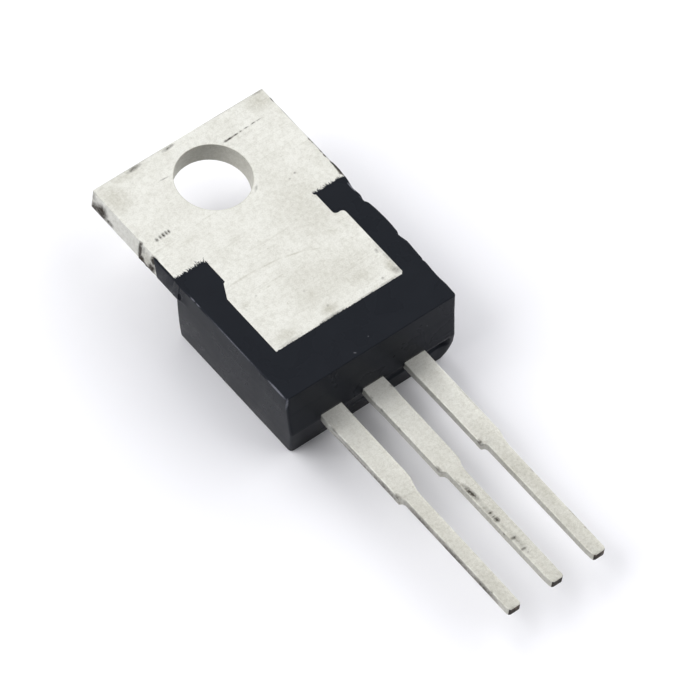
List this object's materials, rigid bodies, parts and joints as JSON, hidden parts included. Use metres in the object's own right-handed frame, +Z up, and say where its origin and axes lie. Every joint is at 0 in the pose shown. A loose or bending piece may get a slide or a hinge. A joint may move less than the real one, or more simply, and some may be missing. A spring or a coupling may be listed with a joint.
{
  "type": "pulse width modulation switch",
  "caption": "Moulded power switch with a bare metal tab, a round mounting hole and a row of flat leads, for switching power supplies.",
  "frame": {"origin": "centre of the bounding box in plan, at the height of the moulded front, which faces down", "axes": "+Z up through the package from its moulded front to its bare metal back; +Y towards the tab, -Y along the leads; +X to the control lead's side"},
  "size_m": [0.0104, 0.0286, 0.0045],
  "materials": {
    "tin_plating": "satin",
    "epoxy_moulding": "satin",
    "silicon": "gloss",
    "solder": "satin",
    "bond_wire": "satin"
  },
  "bodies": {
    "root": {"heat_sink_frame": "tin_plating", "drain_lead": "tin_plating", "control_lead": "tin_plating", "moulded_body": "epoxy_moulding", "switch_die": "silicon", "die_attach_solder": "solder", "drain_bond_wire": "bond_wire", "source_bond_wire_left": "bond_wire", "source_bond_wire_right": "bond_wire", "control_bond_wire": "bond_wire"}
  },
  "joints": []
}
